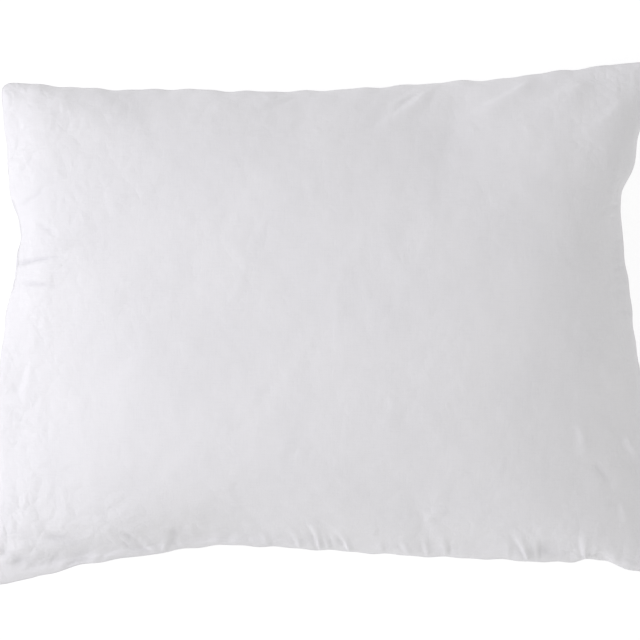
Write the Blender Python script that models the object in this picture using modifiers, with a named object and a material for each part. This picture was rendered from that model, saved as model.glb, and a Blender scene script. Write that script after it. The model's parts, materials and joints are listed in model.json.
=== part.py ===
"""Bed pillow lying flat on a surface, in metres, +Z up.

Two cover panels are sewn together round the rim, where their turned-in edges make one flat seam strip.
A short stretch of that seam, on the left side, is closed last, after filling. Inside, a loose fibre core
lies between an upper and a lower wrap of carded fibre. A blank fabric label hangs from the left seam.
X runs along the pillow, Y across it, and the origin is under the middle of the box round it.
"""

import math

import bmesh
import bpy
from mathutils import Vector

# Rim seen from above: four corners, and how far each side pulls in at sixths of its length.
FRONT_LEFT = Vector((-0.3345, -0.2580))
FRONT_RIGHT = Vector((0.3305, -0.2460))
BACK_LEFT = Vector((-0.3235, 0.2440))
BACK_RIGHT = Vector((0.3275, 0.2650))
FRONT_PULL = (0.0205, 0.0345, 0.0275, 0.0190, 0.0130)
BACK_PULL = (0.0110, 0.0170, 0.0186, 0.0145, 0.0085)
LEFT_PULL = (0.0040, 0.0040, 0.0085, 0.0190, 0.0085)
RIGHT_PULL = (0.0070, 0.0110, 0.0205, 0.0295, 0.0155)

# Heights.
THICKNESS = 0.165
SEAM_HEIGHT = 0.075
RIM_GAP = 0.002
LOWER_CROWN = 0.094
UPPER_CROWN = THICKNESS - SEAM_HEIGHT - RIM_GAP

# Cover and seam.
PANEL_THICKNESS = 0.0008
SEAM_STRIP_THICKNESS = 0.0016
SEAM_STRIP_OUTER = 0.0010
SEAM_STRIP_WIDTH = 0.0100
CLOSING_FROM = 0.585
CLOSING_TO = 0.765
THREAD_DIAMETER = 0.0012
THREAD_INSET = 0.0126
THREAD_SIDES_RESOLUTION = 1

# Filling.
FILL_INSET = 0.020
FILL_RIM_HALF_HEIGHT = 0.008
FILL_CLEARANCE = 0.0022
CORE_SHARE = 0.70
WRAP_SHARE = 0.74

# Label, hanging from the left seam towards the front corner.
LABEL_WIDTH = 0.045
LABEL_DROP = 0.055
LABEL_THICKNESS = 0.0006
LABEL_MIDDLE_Y = -0.120
LABEL_CLEARANCE = 0.0004

# Meshes.
PANEL_COLUMNS, PANEL_ROWS = 24, 20
FILL_COLUMNS, FILL_ROWS = 18, 14
STEPS_PER_SIDE = 14
GAP = 0.0003

PART_NAME = "bed_pillow"


def clear_scene():
    for obj in list(bpy.data.objects):
        bpy.data.objects.remove(obj, do_unlink=True)


def part_collection():
    collection = bpy.data.collections.new(PART_NAME)
    bpy.context.scene.collection.children.link(collection)
    return collection


def material(name, colour, roughness):
    made = bpy.data.materials.new(name)
    made.use_nodes = True
    shader = made.node_tree.nodes["Principled BSDF"]
    shader.inputs["Base Color"].default_value = (*colour, 1.0)
    shader.inputs["Roughness"].default_value = roughness
    shader.inputs["Metallic"].default_value = 0.0
    return made


def smooth_through(values, t):
    """A Catmull-Rom curve through evenly spaced values, at t from 0 to 1."""
    place = min(t, 1.0) * (len(values) - 1)
    i = min(int(place), len(values) - 2)
    f = place - i
    before = values[max(i - 1, 0)]
    a, b = values[i], values[i + 1]
    after = values[min(i + 2, len(values) - 1)]
    return a + 0.5 * f * (
        b - before + f * (2 * before - 5 * a + 4 * b - after + f * (3 * (a - b) + after - before))
    )


def side_point(start, end, pulls, turn, t):
    """A point of one side: on the line between its corners, moved inwards by the pull there."""
    along = (end - start).normalized()
    inwards = Vector((-along.y, along.x)) * turn
    return start.lerp(end, t) + inwards * smooth_through((0.0, *pulls, 0.0), t)


def front(t):
    return side_point(FRONT_LEFT, FRONT_RIGHT, FRONT_PULL, 1, t)


def back(t):
    return side_point(BACK_LEFT, BACK_RIGHT, BACK_PULL, -1, t)


def left(t):
    return side_point(FRONT_LEFT, BACK_LEFT, LEFT_PULL, -1, t)


def right(t):
    return side_point(FRONT_RIGHT, BACK_RIGHT, RIGHT_PULL, 1, t)


def plan_centre():
    """The middle of the box round the rim."""
    steps = [i / 100 for i in range(101)]
    rim = [side(t) for side in (front, back, left, right) for t in steps]
    xs = [p.x for p in rim]
    ys = [p.y for p in rim]
    return Vector((min(xs) + max(xs), min(ys) + max(ys))) / 2


CENTRE = plan_centre()


def plan(u, v):
    """Where (u, v), each from -1 to 1, lies seen from above: a patch blended between the four sides."""
    s = (u + 1) / 2
    t = (v + 1) / 2
    across = front(s).lerp(back(s), t)
    along = left(t).lerp(right(t), s)
    corners = FRONT_LEFT.lerp(FRONT_RIGHT, s).lerp(BACK_LEFT.lerp(BACK_RIGHT, s), t)
    return across + along - corners - CENTRE


def crown(u, v):
    """The rounded swell: 0 along the rim, 1 in the middle, an ellipse in both directions."""
    return math.sqrt(max(0.0, (1 - u * u) * (1 - v * v)))


def upper_cover_height(u, v):
    return SEAM_HEIGHT + RIM_GAP + UPPER_CROWN * crown(u, v)


def lower_cover_height(u, v):
    """The underside, flat at 0 where the pillow's weight presses it on the surface."""
    return max(0.0, SEAM_HEIGHT - RIM_GAP - LOWER_CROWN * crown(u, v))


def fill_height(level, u, v):
    """A surface inside the filling: level 1 is its top, -1 its underside, 0 the seam's height."""
    if level > 0:
        top = UPPER_CROWN + RIM_GAP - FILL_RIM_HALF_HEIGHT - PANEL_THICKNESS - FILL_CLEARANCE
        return SEAM_HEIGHT + level * (FILL_RIM_HALF_HEIGHT + top * crown(u, v))
    deepest = SEAM_HEIGHT - PANEL_THICKNESS - FILL_CLEARANCE
    swell = LOWER_CROWN - FILL_RIM_HALF_HEIGHT - PANEL_THICKNESS - FILL_CLEARANCE
    return SEAM_HEIGHT + level * min(deepest, FILL_RIM_HALF_HEIGHT + swell * crown(u, v))


def fill_plan(u, v):
    """As plan, pulled in from the rim to stay clear of the seam."""
    half_length = (FRONT_RIGHT.x - FRONT_LEFT.x) / 2
    half_width = (BACK_RIGHT.y - FRONT_RIGHT.y) / 2
    return plan(u * (1 - FILL_INSET / half_length), v * (1 - FILL_INSET / half_width))


def patch_grid(columns, rows):
    """A grid over the (u, v) square, closer together towards the rim where the surface turns over."""
    mesh = bmesh.new()
    bmesh.ops.create_grid(mesh, x_segments=columns, y_segments=rows, size=1.0)
    for vert in mesh.verts:
        vert.co.x = math.sin(vert.co.x * math.pi / 2)
        vert.co.y = math.sin(vert.co.y * math.pi / 2)
    return mesh


def add_object(name, mesh, colour_material, collection):
    data = bpy.data.meshes.new(name)
    bmesh.ops.recalc_face_normals(mesh, faces=mesh.faces)
    mesh.to_mesh(data)
    mesh.free()
    data.shade_smooth()
    data.materials.append(colour_material)
    obj = bpy.data.objects.new(name, data)
    collection.objects.link(obj)
    return obj


def add_panel(name, height, upward, colour_material, collection):
    """A cover panel: a crowned sheet given its thickness on the inner side."""
    mesh = patch_grid(PANEL_COLUMNS, PANEL_ROWS)
    for vert in mesh.verts:
        u, v = vert.co.x, vert.co.y
        vert.co = (*plan(u, v), height(u, v))
    data = bpy.data.meshes.new(name)
    if not upward:
        bmesh.ops.reverse_faces(mesh, faces=mesh.faces)
    mesh.to_mesh(data)
    mesh.free()
    data.shade_smooth()
    data.materials.append(colour_material)
    panel = bpy.data.objects.new(name, data)
    collection.objects.link(panel)
    thick = panel.modifiers.new("thickness", "SOLIDIFY")
    thick.thickness = PANEL_THICKNESS
    thick.offset = -1.0
    return panel


def add_fill(name, lower_level, upper_level, colour_material, collection):
    """A solid layer of the filling between two levels."""
    mesh = patch_grid(FILL_COLUMNS, FILL_ROWS)
    made = bmesh.ops.extrude_face_region(mesh, geom=mesh.faces[:])
    upper = {item for item in made["geom"] if isinstance(item, bmesh.types.BMVert)}
    for vert in mesh.verts:
        u, v = vert.co.x, vert.co.y
        level = upper_level if vert in upper else lower_level
        vert.co = (*fill_plan(u, v), fill_height(level, u, v))
    return add_object(name, mesh, colour_material, collection)


def rim_path():
    """The rim once round as (side, t) steps, starting and ending on the left side."""
    steps = [i / STEPS_PER_SIDE for i in range(STEPS_PER_SIDE)]
    path = [(left, t) for t in steps if t > CLOSING_TO]
    path += [(back, t) for t in steps]
    path += [(right, 1 - t) for t in steps]
    path += [(front, 1 - t) for t in steps]
    path += [(left, t) for t in steps if t < CLOSING_FROM]
    return [(left, CLOSING_TO), *path, (left, CLOSING_FROM)]


def inset_line(path, inset):
    """The rim's points along a path, each moved inwards by the same distance."""
    points = [side(t) - CENTRE for side, t in path]
    line = []
    for i, point in enumerate(points):
        before = points[max(i - 1, 0)]
        after = points[min(i + 1, len(points) - 1)]
        arriving = (point - before).normalized() if i else (after - point).normalized()
        leaving = (after - point).normalized() if i < len(points) - 1 else arriving
        inwards = Vector((arriving.y + leaving.y, -arriving.x - leaving.x)) / 2
        line.append(point + inwards * inset / inwards.length_squared)
    return line


def add_seam_strip(name, path, colour_material, collection):
    """The turned-in edges of both panels, as one flat strip along a path of the rim."""
    outer = inset_line(path, SEAM_STRIP_OUTER)
    inner = inset_line(path, SEAM_STRIP_OUTER + SEAM_STRIP_WIDTH)
    mesh = bmesh.new()
    bmesh.ops.create_grid(mesh, x_segments=len(path) - 1, y_segments=1, size=1.0)
    for vert in mesh.verts:
        step = round((vert.co.x + 1) / 2 * (len(path) - 1))
        place = outer[step] if vert.co.y > 0 else inner[step]
        vert.co = (*place, SEAM_HEIGHT - SEAM_STRIP_THICKNESS / 2)
    made = bmesh.ops.extrude_face_region(mesh, geom=mesh.faces[:])
    upper = [item for item in made["geom"] if isinstance(item, bmesh.types.BMVert)]
    bmesh.ops.translate(mesh, verts=upper, vec=(0.0, 0.0, SEAM_STRIP_THICKNESS))
    return add_object(name, mesh, colour_material, collection)


def add_thread(name, path, colour_material, collection):
    """The row of stitching thread along the inner side of a seam strip."""
    line = inset_line(path, THREAD_INSET)
    curve = bpy.data.curves.new(name, "CURVE")
    curve.dimensions = "3D"
    curve.bevel_depth = THREAD_DIAMETER / 2
    curve.bevel_resolution = THREAD_SIDES_RESOLUTION
    curve.use_fill_caps = True
    spline = curve.splines.new("POLY")
    spline.points.add(len(line) - 1)
    for point, place in zip(spline.points, line):
        point.co = (*place, SEAM_HEIGHT, 1.0)
    curve.materials.append(colour_material)
    thread = bpy.data.objects.new(name, curve)
    collection.objects.link(thread)
    return thread


def label_hinge_x():
    """Just outside the rim all along the label's width."""
    steps = [i / 200 for i in range(201)]
    rim = [left(t) - CENTRE for t in steps]
    beside = [p.x for p in rim if abs(p.y - LABEL_MIDDLE_Y) < LABEL_WIDTH / 2 + 0.002]
    return min(beside) - LABEL_CLEARANCE - LABEL_THICKNESS / 2


def add_label(name, colour_material, collection):
    """The label hangs straight down; its origin is on the seam line that it swings on."""
    mesh = bmesh.new()
    bmesh.ops.create_cube(mesh, size=1.0)
    bmesh.ops.scale(mesh, verts=mesh.verts, vec=(LABEL_THICKNESS, LABEL_WIDTH, LABEL_DROP))
    bmesh.ops.translate(mesh, verts=mesh.verts, vec=(0.0, 0.0, -LABEL_DROP / 2))
    label = add_object(name, mesh, colour_material, collection)
    label.location = (label_hinge_x(), LABEL_MIDDLE_Y, SEAM_HEIGHT)
    return label


def closing_path():
    steps = 6
    return [(left, CLOSING_FROM + (CLOSING_TO - CLOSING_FROM) * i / steps) for i in range(steps + 1)]


def shortened(path, inset_share):
    """The same path, with its two ends moved together so that it stays clear of its neighbours."""
    (first_side, first_t), (last_side, last_t) = path[0], path[-1]
    second_t = path[1][1]
    before_last_t = path[-2][1]
    start = first_t + math.copysign(inset_share, second_t - first_t)
    end = last_t + math.copysign(inset_share, before_last_t - last_t)
    return [(first_side, start), *path[1:-1], (last_side, end)]


def build():
    clear_scene()
    collection = part_collection()
    cover_cloth = material("white_cotton", (0.86, 0.86, 0.87), 0.85)
    under_cloth = material("white_cotton_underside", (0.84, 0.84, 0.85), 0.85)
    seam_cloth = material("seam_cotton", (0.80, 0.80, 0.81), 0.85)
    closing_cloth = material("closing_cotton", (0.78, 0.78, 0.80), 0.85)
    thread = material("seam_thread", (0.90, 0.90, 0.90), 0.60)
    closing = material("closing_seam_thread", (0.92, 0.92, 0.92), 0.60)
    core = material("loose_fibre", (0.93, 0.93, 0.92), 0.95)
    upper_wrap = material("upper_carded_fibre", (0.95, 0.95, 0.94), 0.95)
    lower_wrap = material("lower_carded_fibre", (0.94, 0.94, 0.93), 0.95)
    label = material("label_satin", (0.95, 0.95, 0.94), 0.45)

    add_panel("cover_top_panel", upper_cover_height, True, cover_cloth, collection)
    add_panel("cover_bottom_panel", lower_cover_height, False, under_cloth, collection)

    end_gap = GAP / (BACK_LEFT - FRONT_LEFT).length
    rim = rim_path()
    gap_side = closing_path()
    add_seam_strip("edge_seam", shortened(rim, end_gap), seam_cloth, collection)
    add_seam_strip("closing_seam", shortened(gap_side, end_gap), closing_cloth, collection)
    add_thread("edge_thread", shortened(rim, end_gap), thread, collection)
    add_thread("closing_thread", shortened(gap_side, end_gap), closing, collection)

    add_fill("fill_core", -CORE_SHARE, CORE_SHARE, core, collection)
    add_fill("fill_top_wrap", WRAP_SHARE, 1.0, upper_wrap, collection)
    add_fill("fill_bottom_wrap", -1.0, -WRAP_SHARE, lower_wrap, collection)

    add_label("care_label", label, collection)


build()
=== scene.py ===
"""Looks of the bed pillow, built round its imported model: cover, seam, filling and label."""
import json
import math

import bpy
import numpy as np
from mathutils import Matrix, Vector


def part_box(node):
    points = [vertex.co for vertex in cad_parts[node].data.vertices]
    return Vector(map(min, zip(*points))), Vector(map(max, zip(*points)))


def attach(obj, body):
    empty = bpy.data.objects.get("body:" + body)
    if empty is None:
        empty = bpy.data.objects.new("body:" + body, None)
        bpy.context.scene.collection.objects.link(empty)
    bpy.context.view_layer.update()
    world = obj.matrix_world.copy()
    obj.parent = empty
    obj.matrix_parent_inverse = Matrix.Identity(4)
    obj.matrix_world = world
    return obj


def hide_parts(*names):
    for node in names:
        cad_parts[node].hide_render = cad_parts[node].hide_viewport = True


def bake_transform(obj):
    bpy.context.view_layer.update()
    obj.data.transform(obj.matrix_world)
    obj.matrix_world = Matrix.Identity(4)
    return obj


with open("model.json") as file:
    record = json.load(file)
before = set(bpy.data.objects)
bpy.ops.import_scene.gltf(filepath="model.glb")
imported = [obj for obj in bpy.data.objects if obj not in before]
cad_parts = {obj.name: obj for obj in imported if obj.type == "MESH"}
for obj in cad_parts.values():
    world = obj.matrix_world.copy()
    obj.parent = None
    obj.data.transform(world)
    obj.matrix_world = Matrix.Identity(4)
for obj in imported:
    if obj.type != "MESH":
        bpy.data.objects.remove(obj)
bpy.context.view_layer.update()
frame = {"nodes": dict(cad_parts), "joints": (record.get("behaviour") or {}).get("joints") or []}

# Flat size of each cover panel at the seam, as a share of the distance between the rim's corners.
CLOTH_EASE = 1.030

# Simulation grid: cells along X and along Y.
CELLS_X, CELLS_Y = 96, 75
SIM_SHAPE = (CELLS_X + 1, CELLS_Y + 1)
SIM_FRAMES = 30
SEAM_GATHER = 0.03
GATHER_REACH = 0.018

# Corner radii of the rim: front left, front right, back left, back right.
CORNER_RADII = {(-1, -1): 0.009, (1, -1): 0.014, (-1, 1): 0.009, (1, 1): 0.012}

# How much of the simulated wrinkles stays by the seam and over the crown.
WRINKLES_AT_FRONT = 0.75
WRINKLES_AT_BACK = 0.35
WRINKLES_ON_CROWN = 0.12
WRINKLE_REACH = 0.030

# The simulated moves are smoothed by CALM_SIGMA, but not across the rim within CALM_EDGE of it. The
# cloth bulges outwards past the rim by at most BULGE_SLOPE times its distance inside it.
CALM_SIGMA = 0.035
CALM_EDGE = 0.060
BULGE_SLOPE = 0.28

# How deep the underside would hang if nothing pressed it flat, as a multiple of the seam's height, and
# how softly its flat patch ends.
UNPRESSED_DEPTH = 1.28
PRESS_SOFTNESS = 0.008

# Within this distance of the rim the cloth is drawn on one smooth curve up from the seam, fully
# everywhere but along the right part of the front, where it keeps its own puckers.
RIM_BAND = 0.030
FAIRING_AT_PUCKERS = 0.35

# The panels: their thickness, what is left of it at the rim, half their gap there, and how much wider
# that is by the label.
PANEL_THICKNESS = 0.0005
RIM_THICKNESS = 0.00002
PANEL_GAP = 0.00004
LABEL_GAP = 0.00045

# The turned-in edges: from and to this far inside the rim, thickness, points across, points along each
# side of the rim and waviness.
SEAM_FLANGE = (0.0012, 0.0105)
SEAM_FLANGE_THICKNESS = 0.0007
FLANGE_ROWS = 6
RIM_STEPS = 190
FLANGE_WAVE = 0.0005

# Waves of the seam, outwards and up: size, turn per metre along X and along Y, and phase.
SEAM_SWAY = ((0.0006, 118, 97, 0.0), (0.0004, 211, -173, 1.3))
SEAM_LIFT = ((0.0030, 17, 11, 0.6), (0.0016, 46, -39, 2.1))

# Places where the filling leaves the rim slack and it is drawn in, or, below 0, pushed out:
# x, y, reach along the rim and depth.
RIM_DENTS = [
    (0.30, 0.121, 0.018, 0.0056), (0.276, -0.24, 0.015, 0.0075), (-0.31, 0.0935, 0.010, 0.0038),
    (-0.31, 0.067, 0.018, 0.0016), (-0.2825, -0.25, 0.011, -0.0022), (-0.3250, -0.256, 0.014, -0.0036),
    (-0.1625, -0.23, 0.030, -0.0018), (-0.1425, 0.24, 0.035, -0.0024), (0.1775, 0.25, 0.018, 0.0022),
    (0.200, -0.24, 0.020, -0.0006),
]

# Short folds round the underside's rim.
UNDERSIDE_FOLDS = 46

# The mesh is finer where a fold is higher than this, and this near the rim.
FOLD_DETAIL = 0.00032
RIM_DETAIL = 0.009

# Painted shade in hollows: at this depth it is darkest, taking the cotton's colour down to this share.
DEEP_HOLLOW = 0.0030
HOLLOW_PAINTED_SHADE = (0.885, 0.885, 0.890)

# The filling: how far it stays inside the cover, which is more than the deepest fold, how far it ends
# inside the rim, and its points along X and along Y.
FILL_CLEARANCE = 0.0056
FILL_REACH = 0.0155
FILL_GRID = (96, 74)

# How far in from the rim the closing stitches draw the panels together.
PINCH_REACH = 0.0046

# Stitches of the closing stretch: inwards from the rim, length, step from one to the next, radius and
# the height of their points over the cloth.
TOPSTITCH_INSET = 0.0030
STITCH_LENGTH, STITCH_STEP, STITCH_RADIUS = 0.0023, 0.0032, 0.00022
STITCH_ARCH = np.array([-0.0002, 0.00012, 0.0002, 0.00012, -0.0002])

# Overlock thread: its middle from the flange's inner edge, half its width and height, and its radius.
OVERLOCK_INSET = 0.0012
OVERLOCK_HALF = (0.0020, 0.0010)
OVERLOCK_RADIUS = 0.00018

# The label: rise of its ribbon over the seam's middle, radius of its turn, gap between its two layers,
# thickness, and how much it bows and ripples across.
LABEL_RISE, LABEL_TURN, LABEL_LAYERS, LABEL_THICKNESS = 0.00035, 0.0016, 0.00055, 0.00018
LABEL_BOW, LABEL_RIPPLE = 0.0012, 0.0006

# The cotton's threads, the sewing thread's twist and the satin's ribs, from one to the next.
WEAVE_PITCH, PLY_PITCH, RIB_PITCH = 0.00055, 0.0007, 0.0009

# Half the crown's height before the simulation.
START_CROWN = 0.070

# The camera's height over the seam, the width it sees there and its place in plan.
CAMERA_HEIGHT, CAMERA_SEES = 2.0, 0.640
CAMERA_PLACE = (-0.0025, 0.0025)

SEED = 11


# ---------------------------------------------------------------- small helpers

def smoothstep(low, high, x):
    t = np.clip((x - low) / (high - low), 0.0, 1.0)
    return t * t * (3 - 2 * t)


def bell(distance, width, power=2):
    """1 at distance 0, falling off smoothly over the width."""
    return np.exp(-(distance / width) ** power)


def unit(vectors):
    return vectors / np.maximum(np.linalg.norm(vectors, axis=-1, keepdims=True), 1e-12)


def midpoints(values):
    """Twice as many steps along the first axis, on a smooth curve through the given ones."""
    padded = np.concatenate([2 * values[:1] - values[1:2], values, 2 * values[-1:] - values[-2:-1]])
    between = (9 * (padded[1:-2] + padded[2:-1]) - padded[:-3] - padded[3:]) / 16
    made = np.empty((2 * len(values) - 1, *values.shape[1:]))
    made[::2] = values
    made[1::2] = between
    return made


def refined(grid):
    """A grid of points with twice as many cells each way."""
    return np.swapaxes(midpoints(np.swapaxes(midpoints(grid), 0, 1)), 0, 1)


def soft_noise(shape, cells, seed):
    """Smooth noise from -1 to 1 over a grid, with the given number of lumps each way."""
    draw = np.random.default_rng(seed)
    made = draw.uniform(-1, 1, (cells[0] + 3, cells[1] + 3))
    for axis in (0, 1):
        made = np.swapaxes(made, 0, 1) if axis else made
        places = np.linspace(1, made.shape[0] - 2.001, shape[axis])
        i = places.astype(int)
        f = (places - i)[:, None]
        a, b, c, d = made[i - 1], made[i], made[i + 1], made[np.minimum(i + 2, len(made) - 1)]
        made = b + 0.5 * f * (c - a + f * (2 * a - 5 * b + 4 * c - d + f * (3 * (b - c) + d - a)))
        made = np.swapaxes(made, 0, 1) if axis else made
    return made


def blurred(grid, sigma):
    """A grid of vectors smoothed along its first axis, sigma in cells."""
    reach = int(3 * sigma)
    weights = np.exp(-0.5 * (np.arange(-reach, reach + 1) / sigma) ** 2)
    weights /= weights.sum()
    padded = np.pad(grid, ((reach, reach), *[(0, 0)] * (grid.ndim - 1)), mode="edge")
    return sum(w * padded[k:k + len(grid)] for k, w in enumerate(weights))


def grid_normals(grid, upward):
    along = np.gradient(grid, axis=0)
    across = np.gradient(grid, axis=1)
    return unit(np.cross(along, across)) * (1 if upward else -1)


def on_grid(grid, i, j):
    """The grid's points at fractional places i and j."""
    i = np.clip(i, 0, grid.shape[0] - 1.001)
    j = np.clip(j, 0, grid.shape[1] - 1.001)
    a, b = i.astype(int), j.astype(int)
    f, g = (i - a)[..., None], (j - b)[..., None]
    near = grid[a, b] * (1 - g) + grid[a, b + 1] * g
    far = grid[a + 1, b] * (1 - g) + grid[a + 1, b + 1] * g
    return near * (1 - f) + far * f


# ---------------------------------------------------------------- the rim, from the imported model

def packed_rim():
    """The upper panel's rim in plan, sorted once round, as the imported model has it."""
    mesh = frame["nodes"]["cover_top_panel"].data
    points = np.empty(len(mesh.vertices) * 3)
    mesh.vertices.foreach_get("co", points)
    points = np.unique(points.reshape(-1, 3).round(6), axis=0)
    low = points[points[:, 2] < points[:, 2].min() + 0.0012]
    rim = low[low[:, 2] > low[:, 2].max() - 0.00003][:, :2]
    return rim[np.argsort(np.arctan2(rim[:, 1], rim[:, 0]))]


class Side:
    """One side of the rim: a smooth line between two corners."""

    def __init__(self, rim, first, last, turn):
        count = (last - first) * turn % len(rim)
        points = rim[(first + turn * np.arange(count + 1)) % len(rim)]
        self.start, self.end = points[0], points[-1]
        chord = self.end - self.start
        self.inwards = np.array([-chord[1], chord[0]]) / np.linalg.norm(chord)
        self.t = (points - self.start) @ chord / (chord @ chord)
        self.off = (points - self.start) @ self.inwards
        self.slope = np.gradient(self.off, self.t)

    def at(self, t):
        k = np.clip(np.searchsorted(self.t, t) - 1, 0, len(self.t) - 2)
        span = self.t[k + 1] - self.t[k]
        f = np.clip((t - self.t[k]) / span, 0, 1)
        off = (
            (1 + 2 * f) * (1 - f) ** 2 * self.off[k] + f * f * (3 - 2 * f) * self.off[k + 1]
            + f * (1 - f) ** 2 * span * self.slope[k] + f * f * (f - 1) * span * self.slope[k + 1]
        )
        return self.start + t[..., None] * (self.end - self.start) + off[..., None] * self.inwards


RIM = packed_rim()
AT_CORNER = {(a, b): int(np.argmax(RIM @ np.array([a, b]))) for a in (-1, 1) for b in (-1, 1)}
CORNERS = {key: RIM[place] for key, place in AT_CORNER.items()}
FRONT = Side(RIM, AT_CORNER[-1, -1], AT_CORNER[1, -1], 1)
BACK = Side(RIM, AT_CORNER[-1, 1], AT_CORNER[1, 1], -1)
LEFT = Side(RIM, AT_CORNER[-1, -1], AT_CORNER[-1, 1], -1)
RIGHT = Side(RIM, AT_CORNER[1, -1], AT_CORNER[1, 1], 1)
HALF_X = (CORNERS[1, -1][0] - CORNERS[-1, -1][0]) / 2
HALF_Y = (CORNERS[-1, 1][1] - CORNERS[-1, -1][1]) / 2
CELL_X, CELL_Y = 2 * HALF_X / CELLS_X, 2 * HALF_Y / CELLS_Y
SEAM_Z = float(np.mean([corner[2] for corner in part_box("edge_seam")]))
TOP_Z = float(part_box("cover_top_panel")[1][2])
HINGE = np.array(frame["joints"][0]["pos_m"])


def quad(u, v):
    """(u, v), each from -1 to 1, spread evenly between the four corners."""
    s, t = ((u + 1) / 2)[..., None], ((v + 1) / 2)[..., None]
    front = CORNERS[-1, -1] * (1 - s) + CORNERS[1, -1] * s
    back = CORNERS[-1, 1] * (1 - s) + CORNERS[1, 1] * s
    return front * (1 - t) + back * t


def patch(u, v):
    """(u, v) spread between the rim's four curved sides."""
    s, t = (u + 1) / 2, (v + 1) / 2
    along = FRONT.at(s) * (1 - t[..., None]) + BACK.at(s) * t[..., None]
    across = LEFT.at(t) * (1 - s[..., None]) + RIGHT.at(t) * s[..., None]
    return along + across - quad(u, v)


def rounded(u, v):
    """(u, v) with the square's corners drawn in to arcs."""
    made_u, made_v = u.copy(), v.copy()
    for (a, b), radius in CORNER_RADII.items():
        x = (a * u - 1) * HALF_X / radius + 1
        y = (b * v - 1) * HALF_Y / radius + 1
        inside = (x > 0) & (y > 0)
        shrink = np.maximum(x, y) / np.maximum(np.hypot(x, y), 1e-9)
        made_u = np.where(inside, a * (1 + (x * shrink - 1) * radius / HALF_X), made_u)
        made_v = np.where(inside, b * (1 + (y * shrink - 1) * radius / HALF_Y), made_v)
    return made_u, made_v


def crown(u, v):
    return np.sqrt(np.maximum(0.0, (1 - u * u) * (1 - v * v)))


def seam_wander(points):
    """How far the seam strays from its plain line: outwards, and up or down. None by the label."""
    x, y = points[..., 0], points[..., 1]
    by_label = bell(y - HINGE[1], 0.045) * (x < 0)
    sideways, lift = (
        sum(size * np.sin(per_x * x + per_y * y + phase) for size, per_x, per_y, phase in waves)
        for waves in (SEAM_SWAY, SEAM_LIFT)
    )
    for dent_x, dent_y, reach, depth in RIM_DENTS:
        away = np.hypot(x - dent_x, y - dent_y)
        sideways = sideways - depth * bell(np.maximum(away - 0.007, 0), reach)
    return sideways * (1 - by_label), lift * (1 - by_label)


def outwards(u, v):
    return unit(np.stack([u ** 9, v ** 9], axis=-1))


# ---------------------------------------------------------------- the cover's shape

def uv_grid(shape=SIM_SHAPE):
    """u and v, each from -1 to 1, for each point of a grid."""
    return np.meshgrid(*(np.linspace(-1, 1, points) for points in shape), indexing="ij")


def to_rim(shape=SIM_SHAPE):
    """Metres to the left or right side, and to the front or back side, for each grid point."""
    i, j = (np.arange(points) for points in shape)
    side_x = np.minimum(i, i[::-1])[:, None] * (2 * HALF_X / (shape[0] - 1))
    side_y = np.minimum(j, j[::-1])[None, :] * (2 * HALF_Y / (shape[1] - 1))
    return np.broadcast_to(side_x, shape), np.broadcast_to(side_y, shape)


def to_nearest(shape=SIM_SHAPE):
    """Metres to the nearest side for each grid point."""
    return np.minimum(*to_rim(shape))


def start_shape(u, v, half_height):
    """The cover before the simulation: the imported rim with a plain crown."""
    plan = patch(*rounded(u, v))
    sideways, lift = seam_wander(plan)
    near_rim = np.maximum(np.abs(u), np.abs(v)) ** 12
    plan = plan + outwards(u, v) * (sideways * near_rim)[..., None]
    height = half_height * crown(u, v) + lift * near_rim
    return np.concatenate([plan, height[..., None]], axis=-1)


def flat_shape(u, v):
    """The cover's cloth laid flat, a little larger than the rim. Its edges are gathered: the zigzag
    adds length along the seam without taking up room."""
    plan = quad(*rounded(u, v)) * CLOTH_EASE
    side_x, side_y = to_rim()
    extra = math.sqrt((1 + SEAM_GATHER) ** 2 - 1) / 2
    flip_i = (-1.0) ** np.arange(CELLS_X + 1)[:, None]
    flip_j = (-1.0) ** np.arange(CELLS_Y + 1)[None, :]
    zigzag = flip_i * bell(side_y, GATHER_REACH) * extra * 2 * HALF_X / CELLS_X
    zigzag = zigzag + flip_j * bell(side_x, GATHER_REACH) * extra * 2 * HALF_Y / CELLS_Y
    return np.concatenate([plan, zigzag[..., None]], axis=-1)


def closed_cover():
    """Vertex numbers of the upper and lower grids, which share their rim, and the faces of both."""
    upper = numbered(SIM_SHAPE)
    inner = np.zeros(upper.shape, bool)
    inner[1:-1, 1:-1] = True
    lower = upper.copy()
    lower[inner] = upper.size + np.arange(inner.sum())
    faces = np.concatenate([grid_faces(upper), grid_faces(lower)[:, ::-1]])
    return upper, lower, inner, faces


def numbered(shape):
    """A grid of the whole numbers from 0."""
    return np.arange(math.prod(shape)).reshape(shape)


def ring_of(numbers):
    """A grid's outermost numbers, once round it."""
    return np.concatenate([numbers[:-1, 0], numbers[-1, :-1], numbers[:0:-1, -1], numbers[0, :0:-1]])


def grid_faces(numbers):
    corners = (numbers[:-1, :-1], numbers[1:, :-1], numbers[1:, 1:], numbers[:-1, 1:])
    return np.stack(corners, axis=-1).reshape(-1, 4)


CLOTH_SETTINGS = dict(
    quality=6, mass=0.3, tension_stiffness=15, compression_stiffness=5, shear_stiffness=5,
    bending_stiffness=0.5, tension_damping=5, compression_damping=5, shear_damping=5,
    bending_damping=0.5, air_damping=2, use_pressure=True, uniform_pressure_force=5,
    vertex_group_mass="seam", pin_stiffness=1,
)


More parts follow.
